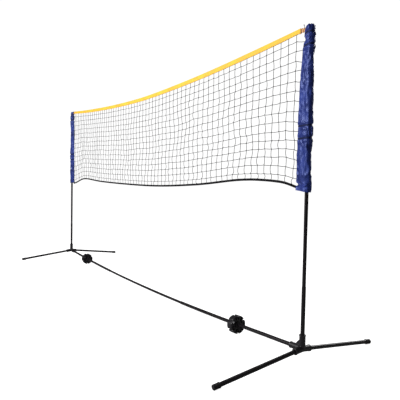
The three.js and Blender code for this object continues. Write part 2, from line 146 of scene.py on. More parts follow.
TAPE_STEPS = 620
TAPE_SHELL = 0.0008
TAPE_HALF = 0.0020
TAPE_BEAD_R = 0.0026
TAPE_SWAY = 0.002  # how far an edge wanders in y
HEM_SWAY = 0.008
SWAY_RATE = 1.9  # noise units per metre
TAPE_PUCKER = 0.0005
HEM_PUCKER = 0.0004
PUCKER_PITCH = 0.019
STITCH_PITCH = 0.006
STITCH_LENGTH = 0.0042
STITCH_R = 0.00035
STITCH_INSET = 0.004  # from the tape's lower edge
HEM_STITCH_INSET = 0.003  # from the hem's upper edge
STITCH_LIFT = 0.0003  # off the face of the tape or hem
STRAP_HALF = 0.0012
STRAP_ON_TAPE = 0.006  # how far it runs over the tape's end
STRAP_ON_SLEEVE = 0.004
STRAP_HALF_HEIGHT = 0.0115
STRAP_TAPER = 0.0035  # lost from the half height on the way to the sleeve
LACE_R = 0.0011
LACE_TURNS = 2.5
LACE_INSET = 0.002  # from the strap's inner end to the first turn
LACE_OVERRUN = 0.001  # past the strap's outer end
LACE_HALF_HEIGHT = 0.0122
LACE_TAIL = 0.013
LACE_TAIL_AT = 0.026  # from the strap's inner end
LACE_TAIL_ABOVE = 0.009  # the tail's start, above the strap's middle
LACE_KNOT_SIZE = 0.0008

NET_ROWS = 16
NET_COLUMNS = 63
NET_EDGE_GAP = 0.022  # from the last column to the sleeve's edge
NET_TOP_CELL = 0.75  # heights of the first and last cells, against a whole cell
NET_BOTTOM_CELL = 0.70
NET_TUCK = 0.003  # how far the twines reach into the tape and the hem
TWINE_R = 0.0013
TWINE_SIDES = 6
CELL_STEPS = 4
DRIFT_RATE = (3.1, 4.3)  # noise units per metre across and up
DRIFT = (0.012, 0.018, 0.008)  # slow wander of the crossings, in x, y and z
SHIVER = (0.0016, 0.0010, 0.0014)  # each crossing's own shift
UPRIGHT_BOW = (0.0022, 0.0016, 0.0)
ACROSS_BOW = (0.0, 0.0014, 0.0007)
ACROSS_SAG = 0.0012
KNOT_SIZE = 0.0008
KNOT_TWINE_R = 0.0011
ANCHOR_TUCK = 0.002  # how far a row's ends reach into the sleeves
ANCHOR_DROP = 0.005
ANCHOR_WANDER = 0.004

# ---------------------------------------------------------------- looks, light and camera
WAVE_BAND = 2 * math.pi / 20  # width of a wave texture's band at scale 1
PLY_PITCH = 0.0016
PLY_SLANT = math.radians(38)
AMBIENT = 0.16  # the backdrop's strength for everything but the camera
BACKDROP = 1.05
FLOOR_HALF = 60.0
FLOOR_GLOW = 0.97
CAMERA_PLACE = Vector((2.9593, -1.4788, 0.7991))
CAMERA_YAW = math.radians(56.00)
CAMERA_PITCH = math.radians(-2.334)
CAMERA_ROLL = math.radians(1.095)
CAMERA_LENS = 40.18


# ---------------------------------------------------------------- mesh helpers
def skin(grid, ends="cap"):
    """Quads over a (levels, around, 3) grid that wraps around, with corner UVs in metres.

    ends is "cap" for flat closed ends, "open", or "loop" where the last level meets the first.
    """
    levels, around, _ = grid.shape
    points = grid.reshape(-1, 3)
    step_round = np.linalg.norm(np.roll(grid, -1, axis=1) - grid, axis=2).mean()
    along = np.linalg.norm(np.diff(grid, axis=0), axis=2).mean(axis=1)
    height = np.concatenate([[0.0], np.cumsum(along)])
    if ends == "loop":
        closing = np.linalg.norm(grid[0] - grid[-1], axis=1).mean()
        height = np.append(height, height[-1] + closing)
    faces, corners = [], []
    for level in range(len(height) - 1):
        above = (level + 1) % levels
        for i in range(around):
            j = (i + 1) % around
            faces.append((level * around + i, level * around + j, above * around + j, above * around + i))
            left, right = i * step_round, (i + 1) * step_round
            low, high = height[level], height[level + 1]
            corners += [(left, low), (right, low), (right, high), (left, high)]
    if ends == "cap":
        last = (levels - 1) * around
        faces.append(tuple(reversed(range(around))))
        faces.append(tuple(range(last, last + around)))
        corners += [(0.0, 0.0)] * (2 * around)
    return points, faces, corners


def combine(parts):
    """Several (points, faces, corners) parts as one."""
    points, faces, corners, start = [], [], [], 0
    for part_points, part_faces, part_corners in parts:
        points.append(part_points)
        faces += [tuple(start + i for i in face) for face in part_faces]
        corners += part_corners
        start += len(part_points)
    return np.concatenate(points), faces, corners


def add_mesh(name, part, material, smooth_angle=40):
    """A mesh object from one part, shaded smooth below an edge angle in degrees."""
    points, faces, corners = part
    mesh = bpy.data.meshes.new(name)
    mesh.from_pydata(points.tolist(), [], faces)
    uv = mesh.uv_layers.new(name="UVMap")
    uv.data.foreach_set("uv", np.array(corners, np.float32).ravel())
    mesh.shade_smooth()
    mesh.set_sharp_from_angle(angle=math.radians(smooth_angle))
    mesh.materials.append(material)
    obj = bpy.data.objects.new(name, mesh)
    bpy.context.scene.collection.objects.link(obj)
    return obj


def stand_in(obj, *nodes):
    """Makes a piece stand for CAD nodes: hides them and puts the piece on their body."""
    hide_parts(*nodes)
    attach(obj, BODY_OF[nodes[0]])
    return obj


def go_with(obj, node):
    """Makes an added piece ride with a CAD node's body."""
    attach(obj, BODY_OF[node])
    return obj


def sweep(path, radius, sides, squash=1.0):
    """Rings round a path, as a (levels, sides, 3) grid. The rings don't twist along it."""
    path = np.asarray(path, float)
    tangents = np.gradient(path, axis=0)
    tangents /= np.linalg.norm(tangents, axis=1, keepdims=True)
    across = np.cross(tangents[0], (0, 1, 0) if abs(tangents[0][1]) < 0.9 else (1, 0, 0))
    turns = np.arange(sides) * 2 * math.pi / sides
    radii = np.broadcast_to(radius, len(path))
    rings = []
    for point, tangent, ring_radius in zip(path, tangents, radii):
        across = across - tangent * (across @ tangent)
        across /= np.linalg.norm(across)
        other = np.cross(tangent, across)
        circle = np.outer(np.cos(turns), across) + squash * np.outer(np.sin(turns), other)
        rings.append(point + ring_radius * circle)
    return np.array(rings)


def turned(profile, origin, direction, sides=TUBE_SIDES):
    """A (levels, sides, 3) grid: [radius, distance] pairs turned about a line."""
    axis = Vector(direction).normalized()
    turn = np.array(axis.to_track_quat("Z", "Y").to_matrix())
    angles = np.arange(sides) * 2 * math.pi / sides
    rings = []
    for radius, distance in profile:
        ring = np.stack([radius * np.cos(angles), radius * np.sin(angles), np.full(sides, distance)], 1)
        rings.append(ring @ turn.T + np.array(origin))
    return np.array(rings)


def smooth_path(points, count):
    """count points along a soft curve through the given points, by their x."""
    points = np.asarray(points, float)
    degree = min(len(points) - 1, 4)
    x = np.linspace(points[0, 0], points[-1, 0], count)
    fits = [np.polyval(np.polyfit(points[:, 0], points[:, k], degree), x) for k in (1, 2)]
    return np.stack([x, *fits], 1)


# ---------------------------------------------------------------- reading the frame
def node_points(node):
    """A CAD node's corner points, each of them once."""
    vertices = frame["nodes"][node].data.vertices
    flat = np.empty(len(vertices) * 3)
    vertices.foreach_get("co", flat)
    return np.unique(flat.reshape(-1, 3).round(6), axis=0)


def tube_rings(node):
    """A tube node's rings as (centre, outer radius, bore radius), from one end to the other."""
    points = node_points(node)
    middle = points.mean(axis=0)
    axis = np.linalg.svd(points - middle, full_matrices=False)[2][0]
    along = (points - middle) @ axis
    order = np.argsort(along)
    breaks = np.flatnonzero(np.diff(along[order]) > 0.01) + 1
    rings = []
    for group in np.split(order, breaks):
        centre = points[group].mean(axis=0)
        reach = np.linalg.norm(points[group] - centre, axis=1)
        rings.append((centre, reach.max(), reach.min()))
    return rings


def panel_edges(node):
    """An upright panel's x values, with its lower and upper edge heights at them."""
    lows, highs = {}, {}
    for x, _, z in node_points(node):
        key = round(x, 4)
        lows[key] = min(z, lows.get(key, z))
        highs[key] = max(z, highs.get(key, z))
    x = np.array(sorted(lows))
    return x, np.array([lows[k] for k in x]), np.array([highs[k] for k in x])


def to_side(points, side):
    """Points made for the right post, or turned half a turn for the left one."""
    return points if side == "right" else points * np.array([-1.0, -1.0, 1.0])


POST_X = tube_rings("right_upper_pole")[0][0][0]
SLEEVE_LOW, SLEEVE_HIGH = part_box("right_net_sleeve")
SLEEVE_BOTTOM, SLEEVE_TOP = SLEEVE_LOW.z, SLEEVE_HIGH.z
SLEEVE_BOTTOM_REACH = POST_X - SLEEVE_LOW.x
TAPE_X, TAPE_LOW, TAPE_HIGH = panel_edges("top_tape")
HEM_X, HEM_LOW, HEM_HIGH = panel_edges("bottom_hem")
HEM_HEIGHT = HEM_HIGH[0] - HEM_LOW[0]


# ---------------------------------------------------------------- materials
class Shade:
    """One material's node tree, with a shorthand for adding and linking nodes."""

    def __init__(self, name, roughness, **values):
        self.material = bpy.data.materials.new(name)
        self.material.use_nodes = True
        self.tree = self.material.node_tree
        self.shader = self.tree.nodes["Principled BSDF"]
        self.shader.inputs["Roughness"].default_value = roughness
        for socket, value in values.items():
            self.shader.inputs[socket.replace("_", " ")].default_value = value
        self.coordinates = self.tree.nodes.new("ShaderNodeTexCoord")

    def node(self, kind, settings=None, **inputs):
        """Adds a node, with its settings and its inputs."""
        made = self.tree.nodes.new("ShaderNode" + kind)
        for name, value in (settings or {}).items():
            setattr(made, name, value)
        for name, value in inputs.items():
            self.set(made.inputs[name.replace("_", " ")], value)
        return made

    def set(self, socket, value):
        """Links an input to another socket, or gives it a value."""
        if isinstance(value, bpy.types.NodeSocket):
            self.tree.links.new(value, socket)
        else:
            socket.default_value = value

    def noise(self, scale, detail=3.0, where="Object", stretch=None):
        """A soft grey noise over the object's own coordinates, or its UVs."""
        vector = self.coordinates.outputs[where]
        if stretch:
            vector = self.node("Mapping", Vector=vector, Scale=stretch).outputs["Vector"]
        made = self.node("TexNoise", Vector=vector, Scale=scale, Detail=detail)
        return made.outputs["Fac"]

    def ramp(self, factor, *stops):
        """Colours or greys along a factor, from (place, colour) stops."""
        made = self.node("ValToRGB", Fac=factor)
        elements = made.color_ramp.elements
        while len(elements) < len(stops):
            elements.new(0.5)
        for element, (place, colour) in zip(elements, stops):
            element.position = place
            element.color = colour if len(colour) == 4 else (*colour, 1.0)
        return made.outputs["Color"]

    def spread(self, factor, low, high):
        """The factor's middle range, spread between two values."""
        made = self.node("MapRange", Value=factor, From_Min=0.35, From_Max=0.65, To_Min=low, To_Max=high)
        return made.outputs["Result"]

    def weave(self, pitch):
        """Height of a plain weave over the UVs, with its threads a pitch apart."""
        uv = self.coordinates.outputs["UV"]
        bands = [
            self.node("TexWave", {"bands_direction": way}, Vector=uv, Scale=WAVE_BAND / pitch).outputs["Fac"]
            for way in ("X", "Y")
        ]
        made = self.node("Math", {"operation": "MAXIMUM"})
        self.set(made.inputs[0], bands[0])
        self.set(made.inputs[1], bands[1])
        return made.outputs["Value"]

    def bump(self, height, depth, under=None):
        """A bump of a depth in metres, on top of another one."""
        made = self.node("Bump", Height=height, Distance=depth, Strength=1.0)
        if under:
            self.set(made.inputs["Normal"], under)
        return made.outputs["Normal"]

    def finish(self, colour, roughness=None, normal=None):
        """Joins the looks to the shader and returns the material."""
        self.set(self.shader.inputs["Base Color"], colour)
        if roughness:
            self.set(self.shader.inputs["Roughness"], roughness)
        if normal:
            self.set(self.shader.inputs["Normal"], normal)
        return self.material


def powder_coat():
    """Black powder coat, uneven in gloss and faintly scuffed."""
    shade = Shade("black_powder_coat", 0.3, Specular_IOR_Level=0.22)
    cloud = shade.noise(9, 4)
    scuffs = shade.noise(60, 5, stretch=(1, 1, 9))
    colour = shade.ramp(
        scuffs, (0.0, (0.004, 0.003, 0.004)), (0.62, (0.006, 0.0045, 0.006)), (0.8, (0.020, 0.017, 0.020))
    )
    peel = shade.bump(shade.noise(1400, 2), 0.00006)
    return shade.finish(colour, shade.spread(cloud, 0.24, 0.4), peel)


def moulded_plastic():
    """Black plastic with a fine grain, paler where its edges are worn and darker in its hollows, which is
    painted shade.
    """
    shade = Shade("black_moulded_plastic", 0.42, Specular_IOR_Level=0.3)
    cloud = shade.noise(22, 4)
    edge = shade.node("NewGeometry").outputs["Pointiness"]
    # The colour follows pointiness: paler on worn outer edges is wear, and darker in the concave hollows is
    # painted shade.
    colour = shade.ramp(
        edge, (0.0, (0.003, 0.003, 0.004)), (0.5, (0.006, 0.005, 0.007)), (0.62, (0.024, 0.022, 0.026))
    )
    grain = shade.bump(shade.noise(2600, 2), 0.00008)
    swell = shade.bump(shade.noise(70, 2), 0.0004, grain)
    return shade.finish(colour, shade.spread(cloud, 0.34, 0.52), swell)


def rubber():
    """Matt black rubber with a little dust."""
    shade = Shade("black_rubber", 0.7, Specular_IOR_Level=0.25)
    dust = shade.noise(45, 6)
    colour = shade.ramp(dust, (0.3, (0.004, 0.004, 0.005)), (0.75, (0.016, 0.015, 0.015)))
    return shade.finish(colour, shade.spread(dust, 0.6, 0.85), shade.bump(shade.noise(1800, 3), 0.0001))


def black_oxide():
    """Black oxide on steel, slightly spangled."""
    shade = Shade("black_oxide_steel", 0.35, Metallic=1.0)
    spangle = shade.noise(700, 3)
    colour = shade.ramp(spangle, (0.3, (0.030, 0.030, 0.033)), (0.7, (0.085, 0.083, 0.088)))
    return shade.finish(colour, shade.spread(spangle, 0.28, 0.45), shade.bump(spangle, 0.00003))


def woven(name, dark, light, pitch, roughness, sheen, blotch_scale=30, **values):
    """A plain-woven cloth with painted shade in the gaps between its threads, and uneven in tone over its
    length.
    """
    shade = Shade(name, roughness, Sheen_Weight=sheen, Sheen_Roughness=0.4, **values)
    threads = shade.weave(pitch)
    blotches = shade.noise(blotch_scale, 5)
    tone = shade.ramp(blotches, (0.3, dark), (0.7, light))
    # Painted shade: the colour is darker in the gaps between the threads, where the bump dips.
    painted_gap_shade = shade.ramp(threads, (0.45, (0.74, 0.74, 0.76)), (0.8, (1.0, 1.0, 1.0)))
    mixed = shade.node("Mix", {"data_type": "RGBA", "blend_type": "MULTIPLY"})
    shade.set(mixed.inputs["Factor"], 1.0)
    shade.set(mixed.inputs[6], tone)
    shade.set(mixed.inputs[7], painted_gap_shade)
    lumps = shade.bump(shade.noise(260, 4), 0.0002)
    normal = shade.bump(threads, pitch * 0.11, lumps)
    return shade.finish(mixed.outputs[2], shade.spread(blotches, roughness - 0.06, roughness + 0.1), normal)


def twine():
    """Twisted twine: slanting strands along the UVs of a swept line, with painted shade in the grooves
    between them.
    """
    shade = Shade("net_twine", 0.8, Specular_IOR_Level=0.1)
    slant = shade.node("Mapping", Vector=shade.coordinates.outputs["UV"], Rotation=(0, 0, PLY_SLANT))
    ply = shade.node("TexWave", Vector=slant.outputs["Vector"], Scale=WAVE_BAND / PLY_PITCH).outputs["Fac"]
    # Painted shade: the colour is darker where the ply's bump dips into the grooves between strands.
    colour = shade.ramp(ply, (0.2, (0.002, 0.002, 0.002)), (0.8, (0.007, 0.007, 0.008)))
    return shade.finish(colour, shade.spread(shade.noise(40), 0.6, 0.8), shade.bump(ply, 0.0003))


POWDER_COAT = powder_coat()
PLASTIC = moulded_plastic()
RUBBER = rubber()
OXIDE = black_oxide()
NAVY = woven("navy_polyester", (0.006, 0.011, 0.080), (0.018, 0.034, 0.20), 0.0007, 0.41, 0.0, 14,
             Specular_IOR_Level=0.6, Specular_Tint=(0.35, 0.45, 1.0, 1.0))
RIBBON = woven("navy_ribbon", (0.002, 0.003, 0.018), (0.006, 0.009, 0.045), 0.0006, 0.6, 0.0,
               Specular_IOR_Level=0.25, Specular_Tint=(0.45, 0.55, 1.0, 1.0))
YELLOW = woven("yellow_binding", (0.74, 0.38, 0.02), (0.86, 0.53, 0.035), 0.0009, 0.7, 0.0, 11)
THREAD = woven("yellow_thread", (0.62, 0.36, 0.03), (0.80, 0.52, 0.06), 0.0006, 0.6, 0.2)
WEBBING = woven("orange_webbing", (0.48, 0.20, 0.06), (0.78, 0.42, 0.16), 0.0013, 0.7, 0.2, 60)
LACE = woven("brown_lace", (0.020, 0.008, 0.004), (0.07, 0.028, 0.012), 0.0008, 0.7, 0.1)
BLACK_BINDING = woven("black_binding", (0.001, 0.001, 0.002), (0.005, 0.004, 0.006), 0.0009, 0.8, 0.0,
                      Specular_IOR_Level=0.12)
TWINE = twine()


# ---------------------------------------------------------------- tubes
def hollow_tube(path, outer, bore):
    """A tube with rounded lips at both ends, along a path."""
    first, last = path[0], path[-1]
    start = (path[1] - first) / np.linalg.norm(path[1] - first) * TUBE_LIP
    end = (path[-2] - last) / np.linalg.norm(path[-2] - last) * TUBE_LIP
    centres = [first, first + start, *path[1:-1], last + end, last]
    radii = [outer - TUBE_LIP] + [outer] * len(path) + [outer - TUBE_LIP]
    outside = sweep(centres, np.array(radii), TUBE_SIDES)
    inside = sweep(centres, bore, TUBE_SIDES)[::-1]
    return skin(np.concatenate([outside, inside]), "loop")


def stand_in_tube(node, material):
    """Replaces a tube node. The cross bar's tubes bend softly, and the others are straight."""
    rings = tube_rings(node)
    _, outer, bore = rings[-1]
    if node == "centre_bar" or node.endswith("outer_bar"):
        path = smooth_path([centre for centre, _, _ in rings], BAR_STEPS)
    else:
        path = np.linspace(rings[0][0], rings[-1][0], 4)
    stand_in(add_mesh(node + "_tube", hollow_tube(path, outer, bore), material), node)


for node, slot in SLOT_OF.items():
    if slot == "steel_black":
        stand_in_tube(node, POWDER_COAT)
for side in SIDES:
    stand_in_tube(side + "_bar_coupler", PLASTIC)


# ---------------------------------------------------------------- hubs, caps and fasteners
def dress_hub(node):
    """The moulded hub: its CAD shape with soft fillets where the sockets meet."""
    hub = frame["nodes"][node]
    hub.material_slots[0].material = PLASTIC
    weld = hub.modifiers.new("weld", "WELD")
    weld.merge_threshold = 1e-5
    remesh = hub.modifiers.new("even skin", "REMESH")
    remesh.mode = "VOXEL"
    remesh.voxel_size = HUB_VOXEL
    remesh.use_smooth_shade = True
    soften = hub.modifiers.new("fillets", "SMOOTH")
    soften.factor = 0.5
    soften.iterations = HUB_FILLET_PASSES


def foot_cap(side, end):
    """A grooved rubber cup on the leg's end, flat where it stands on the floor."""
    rings = tube_rings(f"{side}_{end}_leg")
    inner_end, outer_end = sorted((rings[0], rings[-1]), key=lambda ring: abs(ring[0][1]))
    direction = outer_end[0] - inner_end[0]
    bore = outer_end[1] + FIT_GAP
    grooves = []
    for i in range(FOOT_GROOVES):
        start = FOOT_MOUTH + FOOT_GROOVE_START + i * FOOT_GROOVE_PITCH
        grooves += [(FOOT_R - depth * FOOT_GROOVE_DEPTH, start + step) for step, depth in FOOT_GROOVE_SHAPE]
    profile = [
        (0.001, 0.0004),
        (bore, 0.0004),
        (bore, FOOT_MOUTH + 0.0006),
        (bore + 0.0006, FOOT_MOUTH),
        (FOOT_R, FOOT_MOUTH),
        (FOOT_R + FOOT_RIM, FOOT_MOUTH + 0.0007),
        (FOOT_R + FOOT_RIM, FOOT_MOUTH + 0.0027),
        (FOOT_R, FOOT_MOUTH + 0.0038),
        *grooves,
        (FOOT_R, FOOT_TIP - 0.0025),
        (FOOT_R - 0.0007, FOOT_TIP - 0.0009),
        (FOOT_R - 0.0024, FOOT_TIP - 0.0001),
        (FOOT_R - 0.0045, FOOT_TIP),
        (0.001, FOOT_TIP),
    ]
    grid = turned(profile, outer_end[0], direction)
    grid[..., 2] = np.maximum(grid[..., 2], 0.0)
    name = f"{side}_{end}_foot_cap"
    stand_in(add_mesh(name + "_cup", skin(grid), RUBBER), name)


def leg_screw(side, end):
    """A pan head with a cross recess, facing outward."""
    name = f"{side}_{end}_leg_screw"
    low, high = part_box(name)
    radius, height = (high.y - low.y) / 2, high.x - low.x
    rim = [(0.1, 0.0), (1.0, 0.0), (1.0, 0.35), (0.97, 0.45)]
    dome = [(r, 1.0 - 0.5 * r * r) for r in np.linspace(0.9, 0.04, 14)]
    profile = [(r * radius, h * height) for r, h in rim + dome]
    grid = turned(profile, (0, 0, 0), (0, 0, 1), 48)
    flat = grid[len(rim):]
    spread = np.hypot(flat[..., 0], flat[..., 1])
    arm = np.minimum(abs(flat[..., 0]), abs(flat[..., 1])) < 0.14 * radius
    flat[..., 2] -= np.where(arm & (spread < 0.6 * radius), 0.45 * height, 0.0)
    outward = OUTWARD[side]
    seat = low.x if side == "right" else high.x
    centre = np.array([seat, (low.y + high.y) / 2, (low.z + high.z) / 2])
    head = np.stack([grid[..., 2] * outward, grid[..., 0] * outward, grid[..., 1]], 2) + centre
    stand_in(add_mesh(name + "_head", skin(head), OXIDE), name)


def pole_button(side):
    """The spring button: a pin with a domed crown."""
    name = side + "_pole_button"
    low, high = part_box(name)
    radius, length = (high.z - low.z) / 2, high.x - low.x
    crown = [
        (radius * math.cos(a), length - radius * 0.5 * (1 - math.sin(a)))
        for a in np.linspace(0, 1.5, 8)
    ]
    profile = [(radius * 0.1, 0.0), (radius * 0.85, 0.0), (radius, radius * 0.15), *crown]
    root = (low.x if side == "right" else high.x, 0.0, (low.z + high.z) / 2)
    stand_in(add_mesh(name + "_pin", skin(turned(profile, root, (OUTWARD[side], 0, 0))), OXIDE), name)


def pole_cap(side):
    """The plug in the upper pole's top end, with a domed head."""
    name = side + "_pole_cap"
    low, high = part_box(name)
    head_r, stem_r = (high.x - low.x) / 2, tube_rings(side + "_upper_pole")[0][2] - FIT_GAP
    dome_start = POLE_CAP_STEM + POLE_CAP_RIM
    dome = [
        (head_r * math.cos(a), dome_start + (high.z - low.z - dome_start) * math.sin(a))
        for a in np.linspace(0, 1.5, 10)
    ]
    profile = [(0.001, 0.0), (stem_r, 0.0), (stem_r, POLE_CAP_STEM), (head_r, POLE_CAP_STEM), *dome]
    root = ((low.x + high.x) / 2, 0.0, low.z)
    stand_in(add_mesh(name + "_plug", skin(turned(profile, root, (0, 0, 1))), PLASTIC), name)


# ---------------------------------------------------------------- bar grips
def lobed_ring(inset):
    """The grip's lobed outline drawn in by an inset, as (radius, angle) pairs."""
    pitch = 2 * math.pi / GRIP_LOBES
    rim, floor, half_slot = GRIP_R - inset, GRIP_SLOT_FLOOR - inset, GRIP_SLOT_HALF + inset
    shoulder = rim - GRIP_CORNER
    ring = []
    for lobe in range(GRIP_LOBES):
        start, end = lobe * pitch, (lobe + 1) * pitch
        floor_turn, shoulder_turn = math.asin(half_slot / floor), math.asin(half_slot / shoulder)
        rim_turn = math.asin((half_slot + GRIP_CORNER) / rim)
        ring += [(floor * GRIP_FLOOR_DIP, start), (floor, start + floor_turn)]
        ring.append((shoulder, start + shoulder_turn))
        ring += [(rim, a) for a in np.linspace(start + rim_turn, end - rim_turn, GRIP_ARC_STEPS)]
        ring += [(shoulder, end - shoulder_turn), (floor, end - floor_turn)]
    return ring


def grip(side):
    """The lobed drum: a wall round hollow faces, and a boss that turns on the coupler."""
    rings = tube_rings(side + "_bar_coupler")
    middle = (rings[0][0] + rings[-1][0]) / 2
    axis = rings[-1][0] - rings[0][0]
    axis /= np.linalg.norm(axis)
    up = np.array([0, 0, 1.0]) - axis * axis[2]
    up /= np.linalg.norm(up)
    across = np.cross(axis, up)
    bore = rings[0][1] + FIT_GAP
    angles = [angle for _, angle in lobed_ring(0.0)]

    def circle(radius):
        return [(radius, angle) for angle in angles]

    half = GRIP_LENGTH / 2
    face = [
        (circle(bore), half - 0.0008),
        (circle(bore + 0.0008), half),
        (circle(GRIP_BOSS_R - 0.001), half),
        (circle(GRIP_BOSS_R), half - 0.001),
        (circle(GRIP_BOSS_R + 0.0006), half - GRIP_HOLLOW),
        (lobed_ring(GRIP_WALL + 0.0006), half - GRIP_HOLLOW),
        (lobed_ring(GRIP_WALL), half - 0.001),
        (lobed_ring(GRIP_WALL - 0.001), half),
        (lobed_ring(0.0018), half),
        (lobed_ring(0.0005), half - 0.0006),
        (lobed_ring(0.0), half - 0.002),
    ]
    levels = face + [(ring, -height) for ring, height in reversed(face)]
    grid = np.array([
        [middle + axis * height + radius * (math.cos(a) * up + math.sin(a) * across) for radius, a in ring]
        for ring, height in levels
    ])
    name = side + "_bar_grip"
    stand_in(add_mesh(name + "_drum", skin(grid, "loop"), PLASTIC, 50), name)


for side in SIDES:
    dress_hub(side + "_base_hub")
    for end in ("front", "back"):
        foot_cap(side, end)
        leg_screw(side, end)
    pole_button(side)
    pole_cap(side)
    grip(side)


# ---------------------------------------------------------------- sleeves
TIE_LEVELS = [sum(corner.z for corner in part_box(f"right_sleeve_tie_{i}")) / 2 for i in (1, 2, 3, 4)]


def hill(distance, spread):
    """A smooth bump: 1 at no distance, falling away over a spread."""
    return math.exp(-((distance / spread) ** 2))


def sleeve_reach(z):
    """From the pole's axis to the sleeve's inner edge."""
    share = min(max((z - SLEEVE_BOTTOM) / (SLEEVE_TOP - SLEEVE_BOTTOM), 0.0), 1.0)
    taper = (SLEEVE_TOP_REACH - SLEEVE_BOTTOM_REACH) * share ** SLEEVE_TAPER_POWER
    waist = WAIST_DEPTH * hill(z - SLEEVE_TOP + WAIST_BELOW_TOP, WAIST_SPREAD)
    notch = NOTCH_DEPTH * hill(z - SLEEVE_BOTTOM - NOTCH_ABOVE_BOTTOM, NOTCH_SPREAD)
    return SLEEVE_BOTTOM_REACH + taper - waist - notch


def drop_outline(reach, post_r, nose_r):
    """Evenly spaced points round a drop about the pole, as (inward, y) from its outer side."""
    nose_centre = reach - nose_r
    lean = math.asin((post_r - nose_r) / nose_centre)
    post = np.linspace(0, math.pi / 2 + lean, 24)
    nose = np.linspace(math.pi / 2 - lean, lean - math.pi / 2, 14)
    inward = [-post_r * np.cos(post), nose_centre + nose_r * np.cos(nose), -post_r * np.cos(post[::-1])]
    y = [post_r * np.sin(post), nose_r * np.sin(nose), -post_r * np.sin(post[::-1])]
    outline = np.stack([np.concatenate(inward), np.concatenate(y)], 1)
    steps = np.linalg.norm(np.diff(outline, axis=0), axis=1)
    along = np.concatenate([[0.0], np.cumsum(steps)])
    wanted = np.linspace(0, along[-1], SLEEVE_AROUND, endpoint=False)
    points = np.stack([np.interp(wanted, along, outline[:, k]) for k in (0, 1)], 1)
    return points, wanted


def outward_normals(outline):
    """Unit normals of a closed (inward, y) outline, pointing out of it."""
    edge = np.roll(outline, -1, axis=0) - np.roll(outline, 1, axis=0)
    normals = np.stack([-edge[:, 1], edge[:, 0]], 1)
    return normals / np.linalg.norm(normals, axis=1, keepdims=True)


def cloth_noise(s, z, grain, seed):
    """Noise over the sleeve's cloth, stretched and slanted by a grain."""
    (across_x, up_x), (across_y, up_y) = grain
    return noise.noise((across_x * s + up_x * z, across_y * s + up_y * z, seed))


def fold_height(s, z, seed):
    """How far the cloth stands out at s metres round the sleeve and height z."""
    near_tie, fans, gathers = 0.0, 0.0, 0.0
    for i, level in enumerate(TIE_LEVELS):
        away = z - level
        near_tie = max(near_tie, hill(away, TIE_HOLD))
        gathers += hill(abs(away) - TIE_GATHER_AWAY, TIE_GATHER_SPREAD)
        phase = FAN_PLEATS_PER_METRE * 2 * math.pi * s + FAN_SHIFT * i + FAN_SLANT * away
        fans += math.exp(-abs(away) / FAN_REACH) * math.sin(phase)
    broad = cloth_noise(s, z, BROAD_GRAIN, seed)
    crease = CREASE_LEVEL - abs(cloth_noise(s, z, CREASE_GRAIN, seed + 9.0))
    fine = cloth_noise(s, z, FINE_GRAIN, seed + 20.0)
    loose = FAN_DEPTH * fans + BROAD_FOLD * broad + CREASE_FOLD * crease + FINE_FOLD * fine
    return (loose + TIE_GATHER * gathers) * (1 - near_tie) - TIE_PINCH * near_tie


def sleeve_ring(z, seed):
    """The sleeve's outline at a height, with its folds, as (x, y) for the right post."""
    outline, s = drop_outline(sleeve_reach(z), SLEEVE_POST_R, SLEEVE_NOSE_R)
    heights = np.array([fold_height(distance, z, seed) for distance in s])
    nose_share = np.exp(-(((s - s[-1] / 2) / NOSE_SPREAD) ** 2))
    heights = np.clip(heights * (1 - NOSE_CALM * nose_share), -FOLD_LIMIT, FOLD_LIMIT)
    if z < SLEEVE_BOTTOM + SLEEVE_HEM:
        heights += SLEEVE_CLOTH * SLEEVE_HEM_STANDS_OUT
    folded = outline + outward_normals(outline) * heights[:, None]
    return np.stack([POST_X - folded[:, 0], folded[:, 1]], 1)


def open_bottom(obj):
    """Takes away the flat face that closes a sleeve's lower end."""
    mesh = obj.data
    below = SLEEVE_BOTTOM + 0.01
    bottom = [face for face in mesh.polygons if len(face.vertices) > 4 and face.center.z < below]
    work = bmesh.new()
    work.from_mesh(mesh)
    work.faces.ensure_lookup_table()
    bmesh.ops.delete(work, geom=[work.faces[face.index] for face in bottom], context="FACES_ONLY")
    work.to_mesh(mesh)
    work.free()


def sleeve(side):
    """The cloth pocket over the pole: pinched by its ties, closed and gathered at its crown."""
    seed = 3.0 if side == "right" else 57.0
    crown_start = SLEEVE_TOP - CROWN_HEIGHT
    rings = []
    for z in np.linspace(SLEEVE_BOTTOM, crown_start, SLEEVE_LEVELS):
        flat = sleeve_ring(z, seed)
        poleward = (flat[:, 0] - POST_X + SLEEVE_BOTTOM_REACH) / (SLEEVE_BOTTOM_REACH + SLEEVE_POST_R)
        droop = SLEEVE_DROOP * max(0.0, 1 - (z - SLEEVE_BOTTOM) / SLEEVE_DROOP_RISE) ** 2
        rings.append(np.column_stack([flat, z - droop * np.clip(poleward, 0.0, 1.0)]))
    rim = rings[-1]
    centre = rim.mean(axis=0)
    turns = np.arange(len(rim)) * 2 * math.pi * CROWN_PUCKERS / len(rim)
    for turn in np.linspace(0.12, 1.56, CROWN_STEPS):
        ring = centre + (rim - centre) * math.cos(turn) ** 0.7
        rise = math.sin(turn) * (CROWN_HEIGHT - CROWN_CLEARANCE)
        ring[:, 2] = crown_start + rise + CROWN_PUCKER_DEPTH * math.sin(2 * turn) * np.sin(turns)
        rings.append(ring)
    name = side + "_net_sleeve"
    obj = add_mesh(name + "_cloth", skin(to_side(np.array(rings), side)), NAVY, 70)
    open_bottom(obj)
    cloth = obj.modifiers.new("cloth thickness", "SOLIDIFY")
    cloth.thickness = SLEEVE_CLOTH
    cloth.offset = -1.0
    stand_in(obj, name)


def trefoil(size, radius, steps, sides):
    """A small overhand knot about the origin."""
    t = np.linspace(0, 2 * math.pi, steps)
    path = np.stack([np.sin(t) + 2 * np.sin(2 * t), np.cos(t) - 2 * np.cos(2 * t), -np.sin(3 * t)], 1)
    return sweep(path * size, radius, sides)


